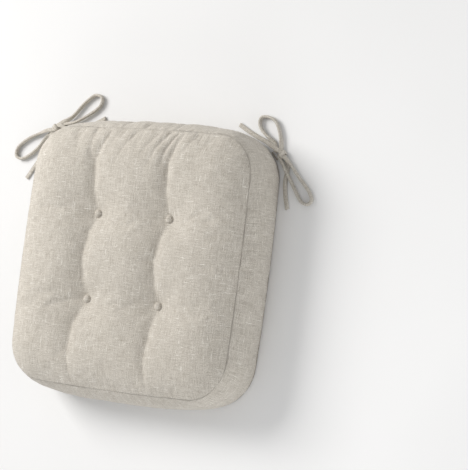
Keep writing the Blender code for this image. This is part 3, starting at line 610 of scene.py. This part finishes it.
def cushion_fill(points, faces, held):
    """Blow the cover up softly as cloth under pressure and return its points."""
    piece = link("filling", mesh_of("filling", points, faces))
    group = piece.vertex_groups.new(name="held")
    levels = np.round(held, 2)
    for level in np.unique(levels):
        group.add(np.nonzero(np.abs(levels - level) < 1e-6)[0].tolist(), float(level), "REPLACE")
    cloth = piece.modifiers.new("Filled", "CLOTH")
    setup = cloth.settings
    setup.quality = 4
    setup.mass = 0.15
    setup.air_damping = 2.0
    setup.tension_stiffness = 12
    setup.compression_stiffness = 12
    setup.shear_stiffness = 3
    setup.bending_stiffness = 0.25
    setup.shrink_min = -FILL_SLACK
    setup.use_pressure = True
    setup.uniform_pressure_force = FILL_PRESSURE
    setup.vertex_group_mass = "held"
    setup.pin_stiffness = 1.0
    setup.effector_weights.gravity = 0.0
    cloth.collision_settings.use_collision = False
    cloth.point_cache.frame_start = 1
    cloth.point_cache.frame_end = FILL_STEPS
    for step in range(1, FILL_STEPS + 1):
        bpy.context.scene.frame_set(step)
    depsgraph = bpy.context.evaluated_depsgraph_get()
    shift = points_of(piece.evaluated_get(depsgraph).to_mesh()) - points
    bpy.data.objects.remove(piece)
    bpy.context.scene.frame_set(1)
    length = np.linalg.norm(shift, axis=1, keepdims=True)
    return points + shift * np.minimum(1, FILL_CAP / np.maximum(length, 1e-9))


def held_firmly(points, ring):
    """How firmly each point is held while filling: fully at seams and buttons, partly in the creases."""
    top = len(ring)
    x, y = points[:top, 0], points[:top, 1]
    held = np.zeros(len(points))
    for line in CREASES:
        held[:top] = np.maximum(held[:top], crease_depth(line, x, y, 0.05) * CREASE_HOLD)
    held = np.minimum(held, CREASE_HOLD_MOST)
    for place in TUFTS:
        away = np.hypot(x - place.x, y - place.y)
        held[:top][away < BUTTON_RADIUS + SEAT_MARGIN] = 1
    held[:top][ring > 0.9999] = 1
    held[-RIM:] = 1
    return held


# ---- Seams of the cover ----
def seam_finder():
    """A function that gives the outline's share nearest to a place."""
    count = 4096
    tree = flat_tree(outline(np.arange(count) / count, 0.0))
    return lambda x, y: tree.find((x, y, 0.0))[1] / count


def ruffle(distance, share, puckers):
    """Shifts of the cloth by irregular puckers along a seam, largest at their reach from it."""
    length = seam_length()
    shift = np.zeros(len(distance))
    for spacing, reach, size, seed in puckers:
        for i in np.nonzero(distance < reach * 6)[0]:
            near = distance[i] / reach
            pucker = noise.noise((share[i] * length / spacing, seed, 0.0)) * 1.6
            shift[i] += size * pucker * near * math.exp(1 - near)
    return shift


def subdivided(mesh, name):
    """The mesh made twice as fine and smooth."""
    piece = link(name, mesh)
    smooth = piece.modifiers.new("Smooth", "SUBSURF")
    smooth.levels = 1
    smooth.render_levels = 1
    smooth.boundary_smooth = "ALL"
    return finished(piece, name)


def turn_in(mesh, find_share, steps):
    """Turn the free edge of the cloth into the seam: each step is (inwards, up)."""
    bm = bmesh.new()
    bm.from_mesh(mesh)
    rim = [edge for edge in bm.edges if edge.is_boundary]
    for inward, up in steps:
        made = bmesh.ops.extrude_edge_only(bm, edges=rim)["geom"]
        rim = [item for item in made if isinstance(item, bmesh.types.BMEdge)]
        verts = {vert for edge in rim for vert in edge.verts}
        shares = {vert: find_share(vert.co.x, vert.co.y) for vert in verts}
        for vert, share in shares.items():
            out = outward(np.array([share]))[0]
            vert.co.x -= out[0] * inward
            vert.co.y -= out[1] * inward
            vert.co.z += up
    bm.to_mesh(mesh)
    bm.free()
    mesh.shade_smooth()


def rims_of(mesh):
    """Whether each point lies on a free edge."""
    bm = bmesh.new()
    bm.from_mesh(mesh)
    free = np.array([vert.is_boundary for vert in bm.verts])
    bm.free()
    return free


def make_top_cover(points, faces, flat, find_share):
    """The top panel, gathered at the back seam and puckered all round."""
    mesh = mesh_of("top_cover", points, faces)
    lay_cloth(mesh, flat[corners_of(mesh)])
    mesh = subdivided(mesh, "top_cover")
    places = points_of(mesh)
    x, y = places[:, 0], places[:, 1]
    distance = seam_distance(x, y)
    share = np.array([find_share(px, py) if d < 0.05 else 0 for px, py, d in zip(x, y, distance)])
    for line in GATHERS:
        places[:, 2] -= crease_depth(line, x, y, GATHER_EDGE)
    towards_back = np.clip((y - 0.10) / 0.08, 0, 1)
    places[:, 2] += (0.35 + 0.65 * towards_back) * ruffle(distance, share, TOP_PUCKERS)
    for i, (px, py, _) in enumerate(places):
        places[i, 2] += 0.0005 * noise.noise((px * 45, py * 45, 3.0))
        places[i, 2] += 0.0002 * noise.noise((px * 130, py * 130, 8.0))
    free = rims_of(mesh)
    places[free, 2] += SLIT / 2
    mesh.vertices.foreach_set("co", places.ravel())
    turn_in(mesh, find_share, ((SEAM_ROUND, -0.0002), (SEAM_TURN_IN, -0.0004)))
    piece = link("top_cover", mesh, LINEN)
    stands_for(piece, "top", "top_panel")


def make_boxing_cover(points, faces, find_share):
    """The boxing strip between the seams; its ends meet at the middle of the back."""
    mesh = mesh_of("boxing_cover", points, faces)
    length = seam_length()
    places = []
    for face in range(len(faces)):
        first = (face % RIM - RIM // 4) % RIM
        upper = points[faces[face][0]][2]
        lower = points[faces[face][1]][2]
        left, right = first / RIM * length, (first + 1) / RIM * length
        places += [(left, upper), (left, lower), (right, lower), (right, upper)]
    lay_cloth(mesh, places)
    mesh = subdivided(mesh, "boxing_cover")
    spots = points_of(mesh)
    share = np.array([find_share(px, py) for px, py, _ in spots])
    out = outward(share)
    swell = ruffle(SEAM_Z - spots[:, 2], share, BOXING_PUCKERS)
    swell += ruffle(spots[:, 2], share, BOTTOM_PUCKERS)
    for i, (px, py, pz) in enumerate(spots):
        swell[i] += 0.0010 * noise.noise((px * 22, py * 22, pz * 14))
        swell[i] += 0.0003 * noise.noise((px * 80, py * 80, pz * 60))
    free = rims_of(mesh)
    swell[free] = 0
    spots[:, :2] += out * swell[:, None]
    high = free & (spots[:, 2] > SEAM_Z / 2)
    spots[high, 2] -= SLIT / 2
    mesh.vertices.foreach_set("co", spots.ravel())
    turn_in(mesh, find_share, ((SEAM_ROUND, 0.0), (SEAM_TURN_IN, 0.0)))
    piece = link("boxing_cover", mesh, LINEN)
    stands_for(piece, "base", "boxing_strip")
    gives_with_seat(piece)


def make_bottom_cover(find_share):
    """The flat underside, drawn up over the anchor discs and rounded into the bottom seam."""
    flat, _, _, faces = panel_grid(BOTTOM_CELLS, HALF + BOTTOM_SPREAD, BOTTOM_SPREAD)
    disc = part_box("anchor_disc_1")
    radius = (disc[1].x - disc[0].x) / 2
    height = np.zeros(len(flat))
    for place in TUFTS:
        near = np.hypot(flat[:, 0] - place.x, flat[:, 1] - place.y)
        rise = np.clip(1 - (near - radius - SEAT_MARGIN) / DISC_PULL, 0, 1)
        height = np.maximum(height, (disc[1].z + 0.0004) * rise ** 2 * (3 - 2 * rise))
    edge = np.clip(1 - seam_distance(flat[:, 0], flat[:, 1]) / 0.004, 0, 1)
    height = np.maximum(height, 0.0008 * edge ** 2)
    faces = [(face[0], *face[:0:-1]) for face in faces]
    mesh = mesh_of("bottom_cover", np.column_stack([flat, height]), faces)
    lay_cloth(mesh, flat[corners_of(mesh)])
    mesh = subdivided(mesh, "bottom_cover")
    places = points_of(mesh)
    for i, (px, py, pz) in enumerate(places):
        places[i, 2] = max(pz, 0) + 0.0004 * abs(noise.noise((px * 30, py * 30, 1.0)))
    mesh.vertices.foreach_set("co", places.ravel())
    turn_in(mesh, find_share, ((SEAM_ROUND, 0.0), (SEAM_TURN_IN, 0.0002)))
    piece = link("bottom_cover", mesh, LINEN)
    stands_for(piece, "base", "bottom_panel")


def make_cover():
    """The whole cover; gives the places of its top panel for what lies under it."""
    points, faces, ring = cover_points()
    top = len(ring)
    flat = points[:top, :2].copy()
    points = cushion_fill(points, faces, held_firmly(points, ring))
    points[:, 2] = np.maximum(points[:, 2], CLOTH)
    find_share = seam_finder()
    panel = [face for face in faces if max(face) < top]
    strip = [face for face in faces if max(face) >= top]
    used = sorted({i for face in strip for i in face})
    renumber = {old: new for new, old in enumerate(used)}
    make_top_cover(points[:top], panel, flat, find_share)
    make_boxing_cover(points[used], [tuple(renumber[i] for i in face) for face in strip], find_share)
    make_bottom_cover(find_share)
    inside = points[:top].copy()
    for line in GATHERS:
        inside[:, 2] -= crease_depth(line, inside[:, 0], inside[:, 1], GATHER_EDGE)
    return inside


# ---- Buttons ----
def turned(profile, centre, segments):
    """Points and faces of a closed profile of (radius, height) turned round Z."""
    points, faces = [], []
    for radius, height in profile:
        for k in range(segments):
            angle = 2 * math.pi * k / segments
            x, y = centre.x + radius * math.cos(angle), centre.y + radius * math.sin(angle)
            points.append((x, y, height))
    for ring in range(len(profile) - 1):
        for k in range(segments):
            j = (k + 1) % segments
            faces.append((ring * segments + k, (ring + 1) * segments + k,
                          (ring + 1) * segments + j, ring * segments + j))
    faces.append(tuple(range(segments)))
    faces.append(tuple(range(len(points) - 1, len(points) - 1 - segments, -1)))
    return points, faces


def make_button(number, centre):
    """A button covered in the pad's own linen, its cloth gathered under the rim."""
    low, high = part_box(f"button_cap_{number}")
    low.z -= BUTTON_SINK
    tall = (high.z - low.z) * 0.86
    profile = [(BUTTON_RADIUS * math.sin(a), low.z + tall * (0.38 + 0.62 * math.cos(a)))
               for a in np.linspace(0.04, math.pi / 2, 12)]
    profile += [(BUTTON_RADIUS * 0.985, low.z + tall * 0.22), (BUTTON_RADIUS * 0.93, low.z + tall * 0.08),
                (BUTTON_RADIUS * 0.84, low.z)]
    points, faces = turned(profile, centre, 48)
    shaped = []
    for x, y, z in points:
        dx, dy = x - centre.x, y - centre.y
        away = math.hypot(dx, dy) / BUTTON_RADIUS
        angle = math.atan2(dy, dx)
        pleat = 0.025 * max(away - 0.7, 0) / 0.3 * math.sin(11 * angle + number)
        dent = 0.00012 * noise.noise((x * 500, y * 500, number))
        shaped.append((centre.x + dx * (1 + pleat), centre.y + dy * (1 + pleat), z + dent))
    mesh = mesh_of(f"button_cover_{number}", shaped, faces)
    lay_cloth(mesh, np.array(shaped)[corners_of(mesh)][:, :2])
    piece = link(mesh.name, mesh, BUTTON_LINEN)
    stands_for(piece, "top", f"button_cap_{number}")


# ---- Stitches ----
def stitch_tree():
    """Node tree that lays short threads along the edges of a mesh line."""
    tree = bpy.data.node_groups.new("stitch_row", "GeometryNodeTree")
    face = tree.interface
    face.new_socket("Line", in_out="INPUT", socket_type="NodeSocketGeometry")
    for name in ("Spacing", "Stitch Length", "Thread Radius", "Turn"):
        face.new_socket(name, in_out="INPUT", socket_type="NodeSocketFloat")
    face.new_socket("Thread", in_out="INPUT", socket_type="NodeSocketMaterial")
    face.new_socket("Stitches", in_out="OUTPUT", socket_type="NodeSocketGeometry")

    def step(kind, **inputs):
        made = tree.nodes.new(kind)
        for name, value in inputs.items():
            socket = made.inputs[name.replace("_", " ")]
            if isinstance(value, bpy.types.NodeSocket):
                tree.links.new(value, socket)
            else:
                socket.default_value = value
        return made

    given = tree.nodes.new("NodeGroupInput").outputs
    line = step("GeometryNodeMeshToCurve", Mesh=given["Line"])
    spaced = tree.nodes.new("GeometryNodeResampleCurve")
    spaced.mode = "LENGTH"
    tree.links.new(line.outputs[0], spaced.inputs["Curve"])
    tree.links.new(given["Spacing"], spaced.inputs["Length"])
    thread = step("GeometryNodeMeshUVSphere", Segments=8, Rings=6, Radius=0.5)
    aim = tree.nodes.new("FunctionNodeAlignRotationToVector")
    aim.axis = "X"
    tree.links.new(tree.nodes.new("GeometryNodeInputTangent").outputs[0], aim.inputs["Vector"])
    turn = tree.nodes.new("FunctionNodeRotateRotation")
    turn.rotation_space = "LOCAL"
    tree.links.new(aim.outputs[0], turn.inputs["Rotation"])
    angle = step("ShaderNodeCombineXYZ", Z=given["Turn"])
    tree.links.new(angle.outputs[0], turn.inputs["Rotate By"])
    thick = tree.nodes.new("ShaderNodeMath")
    thick.operation = "MULTIPLY"
    tree.links.new(given["Thread Radius"], thick.inputs[0])
    thick.inputs[1].default_value = 2.0
    size = step("ShaderNodeCombineXYZ", X=given["Stitch Length"], Y=thick.outputs[0], Z=thick.outputs[0])
    laid = step("GeometryNodeInstanceOnPoints", Points=spaced.outputs[0], Instance=thread.outputs[0],
                Rotation=turn.outputs[0], Scale=size.outputs[0])
    real = step("GeometryNodeRealizeInstances", Geometry=laid.outputs[0])
    smooth = step("GeometryNodeSetShadeSmooth", Geometry=real.outputs[0])
    finish = step("GeometryNodeSetMaterial", Geometry=smooth.outputs[0], Material=given["Thread"])
    tree.links.new(finish.outputs[0], tree.nodes.new("NodeGroupOutput").inputs[0])
    return tree


STITCH_TREE = stitch_tree()


def stitches(name, rows, stitch, turn=0.0, closed=False):
    """A mesh of short threads along rows of points; stitch is their spacing, length and radius."""
    points = [tuple(p) for row in rows for p in row]
    edges, start = [], 0
    for row in rows:
        edges += [(start + i, start + i + 1) for i in range(len(row) - 1)]
        if closed:
            edges.append((start + len(row) - 1, start))
        start += len(row)
    mesh = bpy.data.meshes.new(name)
    mesh.from_pydata(points, edges, [])
    piece = link(name, mesh)
    laid = piece.modifiers.new("Stitches", "NODES")
    laid.node_group = STITCH_TREE
    values = dict(zip(("Spacing", "Stitch Length", "Thread Radius"), stitch), Turn=turn, Thread=THREAD)
    for socket in STITCH_TREE.interface.items_tree:
        if socket.in_out == "INPUT" and socket.name in values:
            laid[socket.identifier] = values[socket.name]
    return link(name, finished(piece, name), THREAD)


def make_seam_stitches():
    """The stitching of both seams, just inside the slit between the cloths."""
    for side, body, height, offset in (("top", "top", SEAM_Z + 0.0001, -0.0011),
                                       ("bottom", "base", CLOTH, BOTTOM_SPREAD - 0.0008)):
        line = outline(np.arange(RIM) / RIM, offset - SEAM_DRAW)
        row = np.column_stack([line, np.full(RIM, height)])
        piece = stitches(f"seam_stitches_{side}", [row], SEAM_STITCH, closed=True)
        stands_for(piece, body, f"seam_thread_{side}")


# ---- Ties ----
def corner(side):
    """Bottom-seam point of a back corner, and its along and out directions."""
    low = HALF + BOTTOM_SPREAD - (SEAM_RADIUS + BOTTOM_SPREAD) * (1 - math.sqrt(0.5))
    across = low / HALF
    place = low + SIDE_BOW * across * (1 - across ** 2)
    slant = math.sqrt(0.5)
    along, out = Vector((-side * slant, slant, 0)), Vector((side * slant, slant, 0))
    return Vector((side * place, place, 0)), along, out


def smooth_route(route):
    """Points close together on a smooth curve through a strap's listed points."""
    knots = [Vector(point) for point in route]
    knots = [2 * knots[0] - knots[1]] + knots + [2 * knots[-1] - knots[-2]]
    points = []
    for before, start, end, after in zip(knots, knots[1:], knots[2:], knots[3:]):
        steps = max(round((end - start).xyz.length / (TIE_RING_SPACING * 1000)), 1)
        for step in range(steps):
            t = step / steps
            points.append(0.5 * (2 * start + (end - before) * t
                                 + (2 * before - 5 * start + 4 * end - after) * t * t
                                 + (3 * start - before - 3 * end + after) * t ** 3))
    return points + [knots[-2]]


def moved(route, shift):
    """A route with all but its root points moved along and out."""
    rest = [(u + shift[0], n + shift[1], z, turn) for u, n, z, turn in route[ROOT_POINTS:]]
    return [*route[:ROOT_POINTS], *rest]


def placed(side, point):
    """A route's point as a place in the world, in metres."""
    root, along, out = corner(side)
    return root + along * point[0] / 1000 + out * point[1] / 1000 + Vector((0, 0, point[2] / 1000))


def heading(path, i):
    return (path[min(i + 1, len(path) - 1)] - path[max(i - 1, 0)]).normalized()


def cross_axes(path, broad, i):
    """Directions of a strap's width and thickness at one of its points."""
    tangent = heading(path, i)
    wide = (broad[i] - tangent * broad[i].dot(tangent)).normalized()
    return wide, tangent.cross(wide)


def sweep(name, path, broad, thickness, *materials):
    """A soft flat strap along a path; broad is its width's direction at each point."""
    around = 16
    points, faces, places = [], [], []
    run = 0.0
    for i, point in enumerate(path):
        wide, thin = cross_axes(path, broad, i)
        run += (point - path[max(i - 1, 0)]).length
        for k in range(around):
            angle = 2 * math.pi * k / around
            across = math.copysign(abs(math.cos(angle)) ** 0.75, math.cos(angle))
            puff = math.copysign(abs(math.sin(angle)) ** 0.8, math.sin(angle))
            wrinkle = 1 + 0.14 * noise.noise((run * 260, angle, len(path)))
            points.append(point + wide * across * TIE_WIDTH / 2 + thin * puff * thickness[i] / 2 * wrinkle)
            places.append((run, (angle if angle <= math.pi else 2 * math.pi - angle) * TIE_WIDTH / math.pi))
    for i in range(len(path) - 1):
        for k in range(around):
            j = (k + 1) % around
            faces.append((i * around + k, i * around + j, (i + 1) * around + j, (i + 1) * around + k))
    last = (len(path) - 1) * around
    faces += [tuple(range(around - 1, -1, -1)), tuple(range(last, last + around))]
    mesh = mesh_of(name, points, faces)
    bm = bmesh.new()
    bm.from_mesh(mesh)
    bmesh.ops.recalc_face_normals(bm, faces=bm.faces)
    bm.to_mesh(mesh)
    bm.free()
    lay_cloth(mesh, np.array(places)[corners_of(mesh)])
    # The cap at the tail end takes the last finish; on the straps that is the dark painted shade.
    mesh.polygons[len(faces) - 1].material_index = len(materials) - 1
    return link(name, mesh, *materials)


def strap_frames(route, side):
    """Centre line of a strap, the direction of its width and its thickness all along."""
    points = smooth_route(route)
    path = [placed(side, point) for point in points]
    turns = [math.radians(point[3]) for point in points]
    thickness = [TIE_THICKNESS * (1 + TIE_PLUMP * math.cos(turn)) for turn in turns]
    broad = []
    for i, turn in enumerate(turns):
        tangent = heading(path, i)
        level = tangent.cross(Vector((0, 0, 1))).normalized()
        rise = level.cross(tangent)
        broad.append(rise * math.cos(turn) + level * math.sin(turn))
        upright, flat = abs(math.cos(turn)), abs(math.sin(turn))
        path[i].z = max(path[i].z, upright * TIE_WIDTH / 2 + flat * thickness[i] * 0.6)
    return path, broad, thickness


def make_knot(side_name, side):
    """The turn of strap round the bow's bundle, with the edge of a second turn showing."""
    centre, layers = KNOTS[side_name]
    _, along, out = corner(side)
    middle = placed(side, centre)
    tall = layers * LAYER / 2 + WRAP_RISE
    wide = TIE_WIDTH / 2 + WRAP_SIDE
    path, broad = [], []
    for i in range(WRAP_STEPS + 1):
        done = i / WRAP_STEPS
        angle = 2 * math.pi * WRAP_TURNS * done + math.pi * 0.75
        grow = 1 + 0.10 * done
        squared = max(abs(math.cos(angle)), abs(math.sin(angle))) ** 0.6
        sideways = out * wide * grow * math.cos(angle) / squared
        upwards = Vector((0, 0, 1)) * tall * grow * math.sin(angle) / squared
        path.append(middle + along * (done - 0.5) * WRAP_DRIFT + sideways + upwards)
        broad.append(along + out * 0.25 * math.sin(angle))
    piece = sweep(f"tie_{side_name}_wrap", path, broad, [WRAP_THICKNESS] * len(path), TIE_LINEN)
    stands_for(piece, f"{side_name}_tie", f"tie_{side_name}_knot")
    return piece


def make_strap(name, route, side, body):
    """One strap with a row of stitches near each edge."""
    path, broad, thickness = strap_frames(route, side)
    piece = sweep(name, path, broad, thickness, TIE_LINEN, TAIL_END_SHADE)
    stands_for(piece, body, name.replace("strap", "tie"))
    rows = [[], []]
    for i, point in enumerate(path):
        wide, thin = cross_axes(path, broad, i)
        for row, way in zip(rows, (-1, 1)):
            row.append(point + wide * TIE_WIDTH * 0.33 + thin * way * thickness[i] * 0.43)
    seam = stitches(name + "_stitches", rows, TIE_STITCH)
    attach(seam, body)


def make_bartack(side_name, side):
    """Dense bar of satin stitches over the roots of a corner's straps."""
    low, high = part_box(f"tie_{side_name}_bartack")
    _, along, out = corner(side)
    middle = (low + high) / 2
    rows = []
    for layer in (-0.35, 0.0, 0.35):
        start = middle + out * 0.0004 * (1 - abs(layer)) + Vector((0, 0, 0.0016 * layer))
        rows.append([start + along * BAR_REACH * share for share in (-1, -0.5, 0, 0.5, 1)])
    piece = stitches(f"tie_{side_name}_bar", rows, BAR_STITCH, turn=math.pi / 2)
    stands_for(piece, "base", f"tie_{side_name}_bartack")


def make_ties():
    """Both bows with their knots, straps and bar tacks."""
    left = (moved(LEFT_BACK_ROUTE, LEFT_BOW_SHIFT), moved(LEFT_SIDE_ROUTE, LEFT_BOW_SHIFT))
    right = (RIGHT_BACK_ROUTE, RIGHT_SIDE_ROUTE)
    for side_name, side, (back, beside) in (("left", -1, left), ("right", 1, right)):
        body = f"{side_name}_tie"
        knot = make_knot(side_name, side)
        make_strap(f"strap_{side_name}_back", back, side, body)
        make_strap(f"strap_{side_name}_side", beside, side, body)
        make_bartack(side_name, side)


# ---- Filling and small fittings ----
def make_squeezed(node, name, material):
    """The filling piece itself, as a mesh of its own with doubled points merged, put in place of its part.
    """
    bm = bmesh.new()
    bm.from_mesh(NODES[node].data)
    bmesh.ops.remove_doubles(bm, verts=bm.verts, dist=0.00001)
    mesh = bpy.data.meshes.new(name)
    bm.to_mesh(mesh)
    bm.free()
    piece = link(name, mesh, material)
    stands_for(piece, "base", node)
    return piece


def make_wadding(top_points):
    """The wadding under the top panel, following the filled cover, open round each shank."""
    row = CELLS + 1
    kept = np.arange(4, row - 4, 2)
    index = (kept[:, None] * row + kept[None, :]).ravel()
    upper = top_points[index] - (0, 0, WADDING_FIT)
    lower = upper - (0, 0, WADDING)
    across = len(kept)
    count = across * across
    solid = [all(math.hypot(x - tuft.x, y - tuft.y) > SHANK_ROOM for tuft in TUFTS) for x, y, _ in upper]
    bm = bmesh.new()
    verts = [bm.verts.new(point) for point in np.vstack([upper, lower])]
    for b in range(across - 1):
        for a in range(across - 1):
            cell = (b * across + a, b * across + a + 1, (b + 1) * across + a + 1, (b + 1) * across + a)
            if all(solid[i] for i in cell):
                bm.faces.new([verts[i] for i in cell])
                bm.faces.new([verts[i + count] for i in reversed(cell)])
    bm.verts.index_update()
    for edge in [edge for edge in bm.edges if edge.is_boundary]:
        i, j = edge.verts[0].index, edge.verts[1].index
        if i < count and j < count:
            bm.faces.new((verts[i], verts[j], verts[j + count], verts[i + count]))
    for vert in [vert for vert in bm.verts if not vert.link_faces]:
        bm.verts.remove(vert)
    bmesh.ops.recalc_face_normals(bm, faces=bm.faces)
    mesh = bpy.data.meshes.new("wadding_layer")
    bm.to_mesh(mesh)
    bm.free()
    mesh.shade_smooth()
    piece = link("wadding_layer", mesh, wadding_finish())
    stands_for(piece, "top", "top_wadding")


def make_filling(top_points):
    """The foam, kept below the wadding, and the tuft twines through it."""
    foam = make_squeezed("foam_core", "foam_block", foam_finish())
    places = points_of(foam.data)
    tree = flat_tree(top_points)
    for i, (x, y, z) in enumerate(places):
        cover = top_points[tree.find((x, y, 0.0))[1]][2]
        places[i, 2] = min(z, cover - WADDING - 2 * WADDING_FIT)
    foam.data.vertices.foreach_set("co", places.ravel())
    gives_with_seat(foam)
    for number in range(1, 5):
        twine = make_squeezed(f"tuft_twine_{number}", f"tuft_cord_{number}", TWINE)
        gives_with_seat(twine)


def finish_nodes():
    """Nylon for the anchor discs and steel for the button backs; every other node is replaced."""
    nylon, steel = nylon_finish(), steel_finish()
    for name, node in NODES.items():
        kind = nylon if name.startswith("anchor") else steel
        node.data.materials.clear()
        node.data.materials.append(kind)


make_camera()
make_ties()
filled_top = make_cover()
for i, tuft in enumerate(TUFTS, start=1):
    make_button(i, tuft)
make_seam_stitches()
make_wadding(filled_top)
make_filling(filled_top)
finish_nodes()
make_studio()
make_floor()
